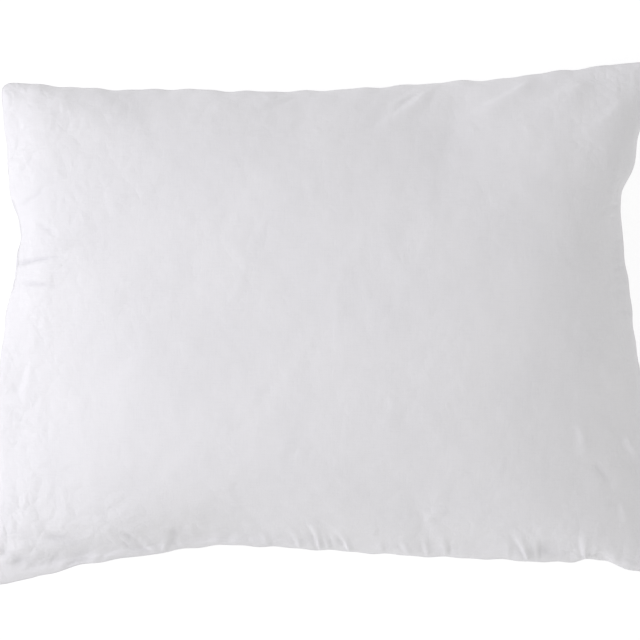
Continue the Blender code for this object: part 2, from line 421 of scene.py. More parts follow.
def inflated(start, flat, faces, held):
    """The cover blown up from the start shape, its cloth's own size being the flat shape's."""
    mesh = bpy.data.meshes.new("blown_cover")
    mesh.from_pydata(start.tolist(), [], faces.tolist())
    cover = linked("blown_cover", mesh)
    cover.shape_key_add(name="start")
    own_size = cover.shape_key_add(name="own_size")
    own_size.data.foreach_set("co", flat.ravel())
    cover.vertex_groups.new(name="seam").add(held.tolist(), 1.0, "REPLACE")
    cover.vertex_groups.new(name="whole").add(list(range(len(start))), 1.0, "REPLACE")
    # Blender gives the cloth its own size only if another modifier comes first; this one keeps all.
    cover.modifiers.new("keep_all", "MASK").vertex_group = "whole"
    cloth = cover.modifiers.new("blow", "CLOTH")
    for name, value in CLOTH_SETTINGS.items():
        setattr(cloth.settings, name, value)
    cloth.settings.effector_weights.gravity = 0
    cloth.settings.rest_shape_key = own_size
    cloth.collision_settings.use_collision = False
    cloth.point_cache.frame_start = 1
    cloth.point_cache.frame_end = SIM_FRAMES
    for step in range(1, SIM_FRAMES + 1):
        bpy.context.scene.frame_set(step)
    shape = cover.evaluated_get(bpy.context.evaluated_depsgraph_get()).data
    points = np.empty(len(shape.vertices) * 3)
    shape.vertices.foreach_get("co", points)
    bpy.data.objects.remove(cover)
    bpy.data.meshes.remove(mesh)
    bpy.context.scene.frame_set(1)
    return points.reshape(-1, 3)


def calmed(shape, start, side):
    """The simulated shape with its wrinkles kept by the seam and mostly smoothed over the crown."""
    moved = shape - start
    side_x, side_y = to_rim()
    inside = to_nearest()
    by_sides = bell(side_x, CALM_EDGE)[..., None]
    by_ends = bell(side_y, CALM_EDGE)[..., None]
    across = np.swapaxes(blurred(np.swapaxes(moved, 0, 1), CALM_SIGMA / CELL_Y), 0, 1)
    smooth = across * (1 - by_ends) + moved * by_ends
    along = blurred(smooth, CALM_SIGMA / CELL_X)
    smooth = along * (1 - by_sides) + smooth * by_sides
    near = bell(inside, WRINKLE_REACH)[..., None]
    towards_back = smoothstep(-HALF_Y, HALF_Y, start[..., 1:2])
    at_seam = WRINKLES_AT_FRONT + (WRINKLES_AT_BACK - WRINKLES_AT_FRONT) * towards_back
    keep = WRINKLES_ON_CROWN + (at_seam - WRINKLES_ON_CROWN) * near
    # Fewer wrinkles stay at the corners.
    keep = keep * (1 - 0.6 * bell(np.hypot(side_x, side_y), 0.055))[..., None]
    moved = smooth + keep * (moved - smooth)
    away = outwards(*uv_grid())
    # Nothing bulges far past the rim.
    bulge = np.maximum((moved[..., :2] * away).sum(axis=-1), 0)
    allowed = BULGE_SLOPE * inside + 1e-6
    too_far = bulge - allowed * np.tanh(bulge / allowed)
    moved[..., :2] -= away * too_far[..., None]
    # By the seam the cloth stays close to its start.
    moved = moved * (0.25 + 0.75 * smoothstep(0.0, 0.024, inside))[..., None]
    made = start + moved
    rim_z = rim_heights(start[..., 2])
    made[..., 2] = rim_z + (made[..., 2] - rim_z) * left_corners(start)
    made = faired(made, start, side)
    # Each panel leaves the seam on its own side, however slack it is there.
    least = 0.45 * np.abs(start[..., 2] - rim_z) * bell(inside, 0.020)
    made[..., 2] = rim_z + np.maximum((made[..., 2] - rim_z) * side, least) * side
    return made


def left_corners(start):
    """A factor on the height: the front left corner is slack, the back left one is full behind."""
    side_x, side_y = to_rim()
    from_left = start[..., 0] - CORNERS[-1, -1][0]
    slack = np.exp(-(from_left / 0.105) ** 2 - ((start[..., 1] - CORNERS[-1, -1][1]) / 0.105) ** 2)
    full = np.exp(-(from_left / 0.090) ** 2 - ((start[..., 1] - CORNERS[-1, 1][1]) / 0.070) ** 2)
    near_x, near_y = (np.minimum(side / 0.060 + 0.02, 1.0) for side in (side_x, side_y))
    lean_x, lean_y = 0.45 * full - 0.30 * slack, 0.38 * slack - 0.40 * full
    return (1 - 0.36 * slack) * near_x ** lean_x * near_y ** lean_y


def faired(shape, start, side):
    """The shape with the cloth near the rim drawn on a smooth curve up from the seam."""
    made = shape * (1, 1, side)
    side_x, side_y = to_rim()
    puckers = smoothstep(-0.10, 0.0, start[..., 0]) * (start[..., 1] < 0)
    share = 1 - (1 - FAIRING_AT_PUCKERS) * puckers * smoothstep(0.330, 0.250, start[..., 0])
    for axis, cell, aside in ((1, CELL_Y, side_x), (0, CELL_X, side_y)):
        count = int(round(RIM_BAND / cell))
        s = (np.arange(count + 1) / count)[:, None]
        for turn in (1, -1):
            eased = share * smoothstep(0.0, 0.012, aside)
            rows, plain, weight = (np.swapaxes(grid, 0, axis)[::turn] for grid in (made, start, eased))
            rise = rows[count, :, 2] - rows[0, :, 2]
            slope = (rows[count + 2, :, 2] - rows[count - 2, :, 2]) * count / 4
            power = blurred(np.clip(slope / np.maximum(rise, 1e-4), 0.22, 1.20), 4)
            target = plain[:count + 1] + (rows[count] - plain[count]) * s[..., None]
            target[..., 2] = rows[0, :, 2] + rise * s ** power
            joined = weight[:count + 1] * (1 - smoothstep(0.6, 1.0, s))
            rows[:count + 1] += (target - rows[:count + 1]) * joined[..., None]
    return made * (1, 1, side)


def rim_heights(heights):
    """For each grid point, the rim's height on the side nearest to it."""
    nx, ny = heights.shape
    i, j = np.arange(nx)[:, None] / (nx - 1), np.arange(ny)[None, :] / (ny - 1)
    along_x = heights[:1] * (1 - i) + heights[-1:] * i
    along_y = heights[:, :1] * (1 - j) + heights[:, -1:] * j
    near_x = 1 / (np.minimum(i, 1 - i) * HALF_X + 1e-6)
    near_y = 1 / (np.minimum(j, 1 - j) * HALF_Y + 1e-6)
    return (along_x * near_x + along_y * near_y) / (near_x + near_y)


def blown_cover():
    """The upper and lower grids of the cover, about the seam's height at 0."""
    u, v = uv_grid()
    upper, lower, inner, faces = closed_cover()
    start_up = start_shape(u, v, START_CROWN)
    start_down = start_shape(u, v, -START_CROWN)
    start = np.concatenate([start_up.reshape(-1, 3), start_down[inner]])
    flat_grid = flat_shape(u, v)
    flat = np.concatenate([flat_grid.reshape(-1, 3), flat_grid[inner]])
    points = inflated(start, flat, faces, upper[~inner])
    up, down = points[upper].copy(), points[lower].copy()
    levelled(up, down, start_up, start_down)
    return calmed(up, start_up, 1), calmed(down, start_down, -1)


def levelled(up, down, start_up, start_down):
    """Turns the cloth by the seam back level, so that both panels leave it at the same angle."""
    by_seam = bell(to_nearest(), 0.045)
    shared = (up[..., 2] - start_up[..., 2] + down[..., 2] - start_down[..., 2]) / 2 * by_seam
    up[..., 2] -= shared
    down[..., 2] -= shared


def settled(up, down):
    """Both grids at their real heights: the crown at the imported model's top, the underside resting."""
    up, down = up.copy(), down.copy()
    rise = TOP_Z - SEAM_Z - PANEL_GAP
    up[..., 2] *= 1 + (rise / up[..., 2].max() - 1) * smoothstep(0.0, 0.03, up[..., 2])
    deep = -down[..., 2]
    deep = deep * (1 + (SEAM_Z * UNPRESSED_DEPTH / deep.max() - 1) * smoothstep(0.0, 0.03, deep))
    pressed = (deep + SEAM_Z - np.sqrt((deep - SEAM_Z) ** 2 + PRESS_SOFTNESS ** 2)) / 2
    lifted = (SEAM_Z - math.hypot(SEAM_Z, PRESS_SOFTNESS)) / 2
    pressed = (pressed - lifted) * SEAM_Z / (pressed - lifted).max()
    near_rim = smoothstep(0.0, 0.02, deep)
    down[..., 2] = -(deep * (1 - near_rim) + pressed * near_rim)
    side_x, _ = to_rim()
    by_label = np.exp(-((up[..., 1] - HINGE[1]) / 0.027) ** 8 - (side_x / 0.010) ** 2) * (up[..., 0] < 0)
    gap = PANEL_GAP + LABEL_GAP * by_label
    up[..., 2] += SEAM_Z + gap
    down[..., 2] = np.maximum(down[..., 2] + SEAM_Z - gap, 0.0)
    return up, down


def pinched(up, down):
    """Both panels drawn together by the stitches of the closing stretch."""
    low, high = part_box("closing_seam")
    y = up[0, :, 1]
    along = smoothstep(low[1] - 0.005, low[1] + 0.004, y)
    along = along * (1 - smoothstep(high[1] - 0.004, high[1] + 0.005, y))
    inwards = np.arange(up.shape[0]) * 2 * HALF_X / (up.shape[0] - 1)
    weight = (bell(inwards, PINCH_REACH, 4)[:, None] * along[None, :])[..., None]
    middle = (up + down) / 2
    spread = np.array([0, 0, PANEL_THICKNESS * 1.1]) * smoothstep(0.0, 0.0015, inwards)[:, None, None]
    drawn_up = up * (1 - weight) + (middle + spread) * weight
    return drawn_up, down * (1 - weight) + (middle - spread) * weight


# ---------------------------------------------------------------- folds

# Each fold: from x, y near the seam to x, y further in, width and height. It has a hollow along its
# right side as seen from its start, or along its left side if the height is below 0.
LEFT_FOLDS = [
    (-0.3, 0.195, -0.278, 0.2, 0.005, 0.001),
    (-0.286, -0.04, -0.303, -0.085, 0.0055, 0.0014),
    (-0.318, -0.238, -0.29, -0.22, 0.007, 0.0018),
]
FRONT_FOLDS = [
    (-0.279, -0.206, -0.225, -0.215, 0.0058, 0.0007),
    (-0.198, -0.212, -0.172, -0.224, 0.005, 0.0018),
    (-0.152, -0.201, -0.13, -0.207, 0.0048, 0.0007),
    (-0.3, -0.243, -0.28, -0.226, 0.007, 0.0014),
    (-0.264, -0.248, -0.246, -0.228, 0.0055, 0.0014),
    (-0.23, -0.24, -0.214, -0.216, 0.0055, 0.001),
    (-0.164, -0.229, -0.1925, -0.208, 0.0045, -0.0018),
    (-0.159, -0.229, -0.15, -0.206, 0.004, 0.0014),
    (-0.138, -0.226, -0.142, -0.2, 0.005, -0.0012),
    (-0.108, -0.225, -0.102, -0.202, 0.006, 0.0007),
    (-0.052, -0.225, -0.06, -0.203, 0.0036, 0.0008),
    (-0.022, -0.226, -0.031, -0.201, 0.0034, -0.0012),
    (-0.002, -0.227, -0.011, -0.194, 0.003, -0.0022),
    (0.008, -0.229, -0.001, -0.204, 0.0026, 0.0011),
    (0.029, -0.231, 0.013, -0.199, 0.0034, -0.0024),
    (0.06, -0.232, 0.056, -0.212, 0.0036, 0.0007),
    (0.088, -0.234, 0.078, -0.207, 0.0034, -0.0011),
    (0.106, -0.234, 0.102, -0.208, 0.0034, -0.0015),
    (0.124, -0.235, 0.118, -0.21, 0.003, 0.0012),
    (0.133, -0.235, 0.13, -0.216, 0.0028, -0.0007),
    (0.186, -0.236, 0.178, -0.208, 0.0036, 0.0008),
    (0.206, -0.237, 0.191, -0.206, 0.0034, -0.0028),
    (0.214, -0.237, 0.209, -0.213, 0.0028, 0.0014),
    (0.238, -0.239, 0.234, -0.213, 0.0038, 0.0003),
    (0.262, -0.237, 0.258, -0.208, 0.0034, -0.002),
    (0.269, -0.237, 0.272, -0.217, 0.003, 0.0009),
    (0.295, -0.244, 0.279, -0.222, 0.005, -0.002),
]
BACK_FOLDS = [
    (-0.03, 0.225, -0.077, 0.207, 0.0042, -0.001),
    (-0.042, 0.227, -0.069, 0.218, 0.003, -0.0005),
    (0.09, 0.227, 0.064, 0.208, 0.0028, -0.0008),
]
RIGHT_FOLDS = [
    (0.278, 0.108, 0.303, 0.115, 0.0045, 0.0012),
    (0.278, 0.079, 0.306, 0.082, 0.0045, 0.0012),
    (0.28, 0.035, 0.318, 0.04, 0.005, 0.001),
    (0.253, -0.102, 0.26, -0.135, 0.007, 0.0007),
]
UPPER_FOLDS = LEFT_FOLDS + FRONT_FOLDS + BACK_FOLDS + RIGHT_FOLDS

# Each bank: from x, y to x, y, its width to the right as seen from its start, its width to the left
# and its height. Most fall steeply to one side and gently to the other; below 0 they are hollows.
BANKS = [
    (-0.2589, 0.0642, -0.342, 0.0542, 0.0026, 0.0022, -0.0029),
    (-0.244, 0.0742, -0.308, 0.0682, 0.01, 0.0034, 0.0018),
    (-0.304, 0.0525, -0.26, 0.059, 0.006, 0.0036, 0.001),
    (-0.296, 0.04, -0.248, 0.0365, 0.0024, 0.003, -0.0023),
    (-0.292, 0.044, -0.256, 0.041, 0.003, 0.006, 0.0014),
    (-0.274, -0.2115, -0.228, -0.2165, 0.0085, 0.01, -0.002),
    (-0.308, -0.235, -0.212, -0.233, 0.012, 0.012, -0.0012),
    (-0.323, -0.229, -0.286, -0.239, 0.006, 0.006, -0.0026),
    (-0.266, -0.239, -0.208, -0.227, 0.009, 0.008, -0.0012),
    (-0.196, -0.209, -0.167, -0.23, 0.0055, 0.0045, -0.003),
    (-0.15, -0.207, -0.132, -0.208, 0.009, 0.0075, -0.0022),
    (-0.156, -0.223, -0.16, -0.202, 0.008, 0.01, 0.0014),
    (0.207, -0.228, 0.257, -0.229, 0.014, 0.012, -0.0022),
    (-0.299, 0.029, -0.278, 0.028, 0.0045, 0.0045, 0.0012),
    (-0.301, 0.15, -0.283, 0.169, 0.0024, 0.0028, -0.0013),
    (-0.299, 0.1165, -0.266, 0.1385, 0.0024, 0.003, -0.0015),
    (-0.28, 0.0975, -0.26, 0.0875, 0.0024, 0.003, -0.0016),
    (-0.312, -0.0945, -0.267, -0.107, 0.0024, 0.005, 0.0013),
    (-0.308, -0.058, -0.296, -0.092, 0.0024, 0.004, -0.001),
    (0.108, 0.232, 0.048, 0.188, 0.004, 0.009, 0.0018),
    (0.205, 0.237, 0.14, 0.2, 0.004, 0.01, 0.0026),
    (0.259, 0.236, 0.208, 0.209, 0.0045, 0.011, 0.0016),
    (0.3, 0.219, 0.255, 0.179, 0.006, 0.014, 0.0022),
    (0.298, -0.114, 0.324, -0.142, 0.0044, 0.012, 0.0044),
    (0.274, -0.042, 0.286, -0.072, 0.004, 0.009, 0.0014),
    (0.247, -0.098, 0.26, -0.132, 0.0036, 0.008, 0.0013),
    (0.268, -0.139, 0.285, -0.165, 0.0036, 0.005, -0.0014),
    (0.295, -0.18, 0.305, -0.202, 0.004, 0.009, 0.0018),
    (0.296, 0.1175, 0.266, 0.101, 0.0026, 0.0032, -0.0014),
    (0.301, 0.083, 0.276, 0.079, 0.0026, 0.0032, -0.0014),
    (0.305, 0.056, 0.279, 0.048, 0.0026, 0.0032, -0.0012),
    (0.312, 0.008, 0.288, 0.012, 0.0026, 0.0032, -0.0012),
]


def crumples(count, low, high, lengths, widths, heights, seed):
    """Small creases at chance places and angles in a rectangle of the plan."""
    draw = np.random.default_rng(seed)
    made = []
    for _ in range(count):
        x, y = draw.uniform(low, high)
        angle, length = draw.uniform(0, 2 * math.pi), draw.uniform(*lengths) / 2
        dx, dy = length * math.cos(angle), length * math.sin(angle)
        made.append((x - dx, y - dy, x + dx, y + dy, draw.uniform(*widths), draw.uniform(*heights)))
    return made


def upper_crumples():
    """Crushed cloth by the left and right sides and the front, and fainter over the crown."""
    sides = dict(lengths=(0.012, 0.034), widths=(0.0028, 0.0050), heights=(-0.00045, 0.00045))
    crown_ones = dict(lengths=(0.020, 0.060), widths=(0.0040, 0.0065), heights=(-0.00035, 0.00035))
    made = crumples(46, (-0.305, -0.210), (-0.240, 0.225), seed=SEED + 60, **sides)
    made += crumples(30, (0.250, -0.200), (0.305, 0.200), seed=SEED + 61, **sides)
    made += crumples(50, (-0.250, -0.215), (0.280, -0.185), seed=SEED + 62, **sides)
    made += crumples(24, (-0.100, 0.175), (0.280, 0.225), seed=SEED + 63, **sides)
    return made + crumples(110, (-0.230, -0.180), (0.250, 0.180), seed=SEED + 64, **crown_ones)


def folds_round_rim(count, seed):
    """Short folds pointing inwards all round the rim, drawn by chance."""
    draw = np.random.default_rng(seed)
    made = []
    for place in (np.arange(count) + draw.uniform(-0.35, 0.35, count)) / count:
        angle = 2 * math.pi * place
        u, v = np.array([math.cos(angle)]), np.array([math.sin(angle)])
        reach = 1 / np.maximum(np.abs(u), np.abs(v))
        inner = 1 - draw.uniform(0.08, 0.16)
        slant = draw.uniform(-0.03, 0.03)
        x0, y0 = patch(u * reach * 0.985, v * reach * 0.985)[0]
        x1, y1 = patch(u * reach * inner + slant * (np.abs(v) > np.abs(u)), v * reach * inner)[0]
        made.append((x0, y0, x1, y1, draw.uniform(0.0035, 0.0065), draw.uniform(0.0005, 0.0019)))
    return made


def fold_height(plan, fold):
    """A ridge with a sharper hollow along one side of it."""
    x0, y0, x1, y1, width, height = fold
    turned, height = math.copysign(1, height), abs(height)
    start, chord = np.array([x0, y0]), np.array([x1 - x0, y1 - y0])
    length = np.linalg.norm(chord)
    away = plan - start
    t = away @ chord / length ** 2
    bend = 0.06 * math.sin(400 * (x0 + y0)) * length
    side = (away[..., 0] * chord[1] - away[..., 1] * chord[0]) / length
    side = turned * side + bend * np.sin(math.pi * np.clip(t, 0, 1)) ** 2
    width = width * (0.65 + 0.8 * np.clip(t, 0, 1))
    ends = smoothstep(-0.15, 0.22, t) * (1 - smoothstep(0.35, 1.18, t))
    ridge = bell(side, width)
    hollow = 0.5 * bell(side - 1.35 * width, 0.65 * width)
    return height * ends * (ridge - hollow)


def bank_height(plan, bank):
    """A ridge or hollow whose two sides fall away differently."""
    x0, y0, x1, y1, right, left, height = bank
    chord = np.array([x1 - x0, y1 - y0])
    length = np.linalg.norm(chord)
    away = plan - np.array([x0, y0])
    t = away @ chord / length ** 2
    side = (away[..., 0] * chord[1] - away[..., 1] * chord[0]) / length
    side = side + 0.05 * math.sin(700 * (x0 - y0)) * length * np.sin(math.pi * np.clip(t, 0, 1))
    width = np.where(side > 0, right, left) * (0.8 + 0.5 * np.clip(t, 0, 1))
    ends = smoothstep(-0.15, 0.2, t) * (1 - smoothstep(0.4, 1.15, t))
    return height * ends * bell(side, width)


def folded(grid, folds, banks, upward, seed):
    """A panel's fine surface: its sewn folds, and the faint lumps of the filling under it. Also which
    of its points need the finer mesh, and the painted shade in its hollows at each, from 0 to about 1."""
    shape, plan = grid.shape[:2], grid[..., :2]
    to_side = to_nearest(shape)
    inside = smoothstep(0.0, 0.006, to_side)
    sewn = sum((fold_height(plan, fold) for fold in folds), np.zeros(shape))
    sewn = sum((bank_height(plan, bank) for bank in banks), sewn) * inside
    lumps = 0.0006 * soft_noise(shape, (16, 12), seed)
    lumps += 0.0003 * soft_noise(shape, (42, 32), seed + 1)
    crumple = 0.00010 * soft_noise(shape, (110, 84), seed + 2)
    ridges = 1 - np.abs(soft_noise(shape, (26, 20), seed + 3) + 0.4 * soft_noise(shape, (61, 47), seed + 4))
    patches = smoothstep(-0.1, 0.6, soft_noise(shape, (7, 6), seed + 5))
    crumple += 0.00035 * np.maximum(ridges, 0) ** 4 * patches
    deep = smoothstep(0.01, 0.06, to_side)
    height = sewn + (crumple + lumps * deep) * inside
    moved = grid + grid_normals(grid, upward) * height[..., None]
    moved[..., 2] = np.maximum(moved[..., 2], 0.0)
    detailed = (np.abs(sewn) > FOLD_DETAIL) | (to_side < RIM_DETAIL)
    # Painted shade for the hollows, a little uneven from place to place.
    uneven = 0.85 + 0.40 * soft_noise(shape, (95, 74), seed + 6)
    return moved, detailed, np.clip(uneven, 0, 1.2) * smoothstep(0.0, DEEP_HOLLOW, -sewn)


# ---------------------------------------------------------------- making objects

def linked(name, data):
    """A new object of this data, in the scene."""
    made = bpy.data.objects.new(name, data)
    bpy.context.scene.collection.objects.link(made)
    return made


def mesh_object(name, points, faces, material, cloth_place=None, shares=()):
    """A smooth mesh with its cloth's place, in metres, and its named shares stored at its points."""
    mesh = bpy.data.meshes.new(name)
    faces = faces if isinstance(faces, list) else faces.tolist()
    mesh.from_pydata(points.reshape(-1, 3).tolist(), [], faces)
    if cloth_place is not None:
        layer = mesh.attributes.new("cloth_place", "FLOAT_VECTOR", "POINT")
        layer.data.foreach_set("vector", cloth_place.astype(np.float32).ravel())
    for share_name, share in shares:
        layer = mesh.attributes.new(share_name, "FLOAT", "POINT")
        layer.data.foreach_set("value", share.astype(np.float32).ravel())
    mesh.shade_smooth()
    mesh.materials.append(material)
    return linked(name, mesh)


def grid_place(shape):
    """Where each grid point lies on the flat cloth, in metres."""
    plan = quad(*uv_grid(shape)) * CLOTH_EASE
    return np.concatenate([plan, np.zeros((*shape, 1))], axis=-1)


def two_level_faces(detailed):
    """Faces over a grid: fine where its detailed mask says so and twice as coarse elsewhere. Where
    they meet, the coarse faces take in the fine ones' corners, so the surface has no cracks."""
    touched = detailed[:-1, :-1] | detailed[1:, :-1] | detailed[:-1, 1:] | detailed[1:, 1:]
    fine = touched[::2, ::2] | touched[1::2, ::2] | touched[::2, 1::2] | touched[1::2, 1::2]
    used = np.zeros(detailed.shape, bool)
    used[::2, ::2] = True
    for i, j in np.argwhere(fine):
        used[2 * i:2 * i + 3, 2 * j:2 * j + 3] = True
    numbers = np.cumsum(used.ravel()).reshape(used.shape) - 1
    whole = np.repeat(np.repeat(fine, 2, axis=0), 2, axis=1)
    faces = grid_faces(numbers)[whole.ravel()].tolist()
    ring = [(0, 0), (1, 0), (2, 0), (2, 1), (2, 2), (1, 2), (0, 2), (0, 1)]
    for i, j in np.argwhere(~fine):
        corners = [(2 * i + a, 2 * j + b) for a, b in ring]
        faces.append([int(numbers[corner]) for corner in corners if used[corner]])
    return used, faces


def crushed_share(shape):
    """How crushed the cloth is at each grid point: most by the left and right sides."""
    x = np.linspace(0, 2 * HALF_X, shape[0])[:, None]
    y = np.linspace(0, 2 * HALF_Y, shape[1])[None, :]
    left, right = bell(x, 0.085), bell(2 * HALF_X - x, 0.080)
    front, back = bell(y, 0.055), bell(2 * HALF_Y - y, 0.070)
    return np.minimum(0.22 + 0.9 * left + 0.6 * right + 0.35 * front + 0.10 * back, 1.1)


def add_panel(name, grid, detailed, hollow, upward, material):
    """A panel with its thickness inside, thinning out at the rim, where both panels are sewn."""
    used, faces = two_level_faces(detailed)
    thickness = RIM_THICKNESS + PANEL_THICKNESS * smoothstep(0.0, 0.003, to_nearest(grid.shape[:2]))
    inner = grid - grid_normals(grid, upward) * thickness[..., None]
    count = int(used.sum())
    numbers = np.cumsum(used.ravel()).reshape(used.shape) - 1
    rim = ring_of(numbers)
    walls = np.stack([np.roll(rim, -1), rim, rim + count, np.roll(rim, -1) + count], axis=-1).tolist()
    faces = faces + walls + [[corner + count for corner in face[::-1]] for face in faces]
    if not upward:
        faces = [face[::-1] for face in faces]
    points = np.concatenate([grid[used], inner[used]])
    place = np.tile(grid_place(grid.shape[:2])[used], (2, 1))
    crushed = np.tile(crushed_share(grid.shape[:2])[used], 2)
    # The hollow share carries painted shade: it darkens the cloth's colour in its hollows.
    shares = [("crushed", crushed), ("hollow", np.tile(hollow[used], 2))]
    return mesh_object(name, points, faces, material, place, shares)


def rim_round(count):
    """(u, v) once round the square, from its front left corner along the front first."""
    along = np.linspace(-1, 1, count, endpoint=False)
    one = np.ones(count)
    u = np.concatenate([along, one, -along, -one])
    v = np.concatenate([-one, along, one, -along])
    return u, v


def between(up, down, u, v, distance):
    """Halfway between the panels at a distance inside the rim, and how far apart they are there."""
    i = (u * (1 - distance / HALF_X) + 1) / 2 * (up.shape[0] - 1)
    j = (v * (1 - distance / HALF_Y) + 1) / 2 * (up.shape[1] - 1)
    above, below = on_grid(up, i, j), on_grid(down, i, j)
    return (above + below) / 2, np.linalg.norm(above - below, axis=-1)


def closing_part(u, v):
    """Which steps of the rim belong to the closing stretch on the left side."""
    low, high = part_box("closing_seam")
    y = patch(u, v)[:, 1]
    return (u <= -0.999) & (y > low[1]) & (y < high[1])


def add_flange(name, up, down, u, v, material):
    """The turned-in edges of both panels, lying inside along a stretch of the seam."""
    rows = [between(up, down, u, v, d) for d in np.linspace(*SEAM_FLANGE, FLANGE_ROWS)]
    middle = np.stack([row[0] for row in rows], axis=1)
    opening = np.stack([row[1] for row in rows], axis=1)
    half = np.clip(opening / 2 - PANEL_THICKNESS * 1.3, 0.00012, SEAM_FLANGE_THICKNESS / 2)
    wave = np.minimum(half, FLANGE_WAVE * np.linspace(0, 1, FLANGE_ROWS))
    middle[..., 2] += wave * np.sin(np.arange(len(u)) * 1.7)[:, None]
    lift = np.stack([np.zeros_like(half), np.zeros_like(half), half], axis=-1)
    section = np.concatenate([middle + lift, (middle - lift)[:, ::-1]], axis=1)
    numbers = numbered(section.shape[:2])
    around = np.concatenate([numbers, numbers[:, :1]], axis=1)
    faces = grid_faces(around).tolist() + [numbers[0].tolist(), numbers[-1, ::-1].tolist()]
    return mesh_object(name, section, faces, material, cloth_place=section * (1, 1, 0))


def add_curve(name, lines, radius, material, sides=1):
    curve = bpy.data.curves.new(name, "CURVE")
    curve.dimensions = "3D"
    curve.bevel_depth = radius
    curve.bevel_resolution = sides
    curve.use_fill_caps = True
    for line in lines:
        spline = curve.splines.new("POLY")
        spline.points.add(len(line) - 1)
        spline.points.foreach_set("co", np.concatenate([line, np.ones((len(line), 1))], axis=1).ravel())
    curve.materials.append(material)
    return linked(name, curve)


def add_overlock(name, up, down, u, v, material):
    """Overlock thread wound over the raw edge of the flange."""
    points_each = 7
    k = np.arange((len(u) - 1) * points_each) / points_each
    centre, _ = between(up, down, u, v, SEAM_FLANGE[1] - OVERLOCK_INSET)
    outer, _ = between(up, down, u, v, SEAM_FLANGE[1] - OVERLOCK_INSET - 0.0030)
    a = k.astype(int)
    f = (k - a)[:, None]
    middle = centre[a] * (1 - f) + centre[a + 1] * f
    towards = unit(outer[a] * (1 - f) + outer[a + 1] * f - middle)
    angle = 2 * math.pi * k
    line = middle + towards * (OVERLOCK_HALF[0] * np.cos(angle))[:, None]
    line[:, 2] += OVERLOCK_HALF[1] * np.sin(angle)
    return add_curve(name, [line], OVERLOCK_RADIUS, material, 0)


def add_topstitch(name, up, down, material):
    """A straight row of stitches near the rim on both panels, along the closing stretch."""
    low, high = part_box("closing_seam")
    lines = []
    for grid, upward in ((up, True), (down, False)):
        normals = grid_normals(grid, upward)
        row = np.arange(grid.shape[1])
        inwards = TOPSTITCH_INSET / (2 * HALF_X) * (grid.shape[0] - 1)
        ys = grid[2, :, 1]
        for start in np.arange(low[1] + 0.002, high[1] - 0.004, STITCH_STEP):
            along = np.linspace(start, start + STITCH_LENGTH, len(STITCH_ARCH))
            j = np.interp(along, ys, row)
            i = np.full(len(STITCH_ARCH), inwards)
            lines.append(on_grid(grid, i, j) + on_grid(normals, i, j) * STITCH_ARCH[:, None])
    return add_curve(name, lines, STITCH_RADIUS, material, 2)


def fill_points(up, down, level):
    """A surface inside the cover at a level from -1, its underside, to 1, its top."""
    u, v = uv_grid(FILL_GRID)
    u = np.sin(u * math.pi / 2) * (1 - FILL_REACH / HALF_X)
    v = np.sin(v * math.pi / 2) * (1 - FILL_REACH / HALF_Y)
    i, j = (u + 1) / 2 * (up.shape[0] - 1), (v + 1) / 2 * (up.shape[1] - 1)
    top, low = on_grid(up, i, j), on_grid(down, i, j)
    top = top - on_grid(grid_normals(up, True), i, j) * FILL_CLEARANCE
    low = low - on_grid(grid_normals(down, False), i, j) * FILL_CLEARANCE
    middle = (top + low) / 2
    return middle + (top - middle) * level


def add_fill(name, up, down, levels, material):
    """A layer of the filling between two levels, one closed body."""
    lower, upper = (fill_points(up, down, level) for level in levels)
    numbers = numbered(FILL_GRID)
    count = numbers.size
    ring = ring_of(numbers)
    onward = np.roll(ring, -1)
    walls = np.stack([ring, onward, onward + count, ring + count], axis=-1)
    faces = np.concatenate([grid_faces(numbers)[:, ::-1], grid_faces(numbers + count), walls])
    points = np.concatenate([lower.reshape(-1, 3), upper.reshape(-1, 3)])
    return mesh_object(name, points, faces, material)


def label_path():
    """The folded label's section: out of the seam, down, round its fold and back up, as x and z."""
    low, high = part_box("care_label")
    outer_x, drop = float(low[0]), float(high[2] - low[2])
    start_z = SEAM_Z + LABEL_RISE
    tail = [(outer_x + s, start_z) for s in (0.0100, 0.0070, 0.0045)]
    angles = [math.radians(a) for a in np.linspace(90, 180, 8)]
    turn = [(outer_x + LABEL_TURN + LABEL_TURN * math.cos(angle),
             start_z - LABEL_TURN + LABEL_TURN * math.sin(angle)) for angle in angles]
    downs = np.linspace(LABEL_TURN + 0.002, drop, 22)
    curl = [(outer_x - 0.0045 * (d / drop) ** 2.2, start_z - d) for d in downs]
    return np.array(tail + turn + curl)


def add_label(name, material):
    """A satin ribbon folded double, with slightly waved edges, its raw ends in the seam."""
    low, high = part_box("care_label")
    path = label_path()
    direction = unit(np.gradient(path, axis=0))
    normal = np.stack([-direction[:, 1], direction[:, 0]], axis=-1)
    inner = path + normal * LABEL_LAYERS
    end = path[-1] + direction[-1] * 0.00045 + normal[-1] * 0.00028
    loop = np.concatenate([path, [end], inner[::-1]])
    across = np.linspace(float(low[1]), float(high[1]), 25)
    share = (across - across[0]) / (across[-1] - across[0])
    grid = np.empty((len(loop), len(across), 3))
    hang = np.clip((SEAM_Z - loop[:, 1]) / 0.055, 0, 1)
    bow = LABEL_BOW * np.sin(math.pi * share)[None, :] * hang[:, None]
    ripple = LABEL_RIPPLE * np.sin(9 * share + 2.2)[None, :] * hang[:, None] ** 2
    grid[..., 0] = loop[:, None, 0] - bow - ripple
    grid[..., 1] = across[None, :]
    grid[..., 2] = loop[:, None, 1]
    along = np.arange(len(loop))[:, None] * 0.002
    place = np.stack(np.broadcast_arrays(along, across[None, :], 0.0), axis=-1)
    label = mesh_object(name, grid, grid_faces(numbered(grid.shape[:2])), material, place)
    thick = label.modifiers.new("thickness", "SOLIDIFY")
    thick.thickness = LABEL_THICKNESS
    thick.offset = 0
    return label


# ---------------------------------------------------------------- materials

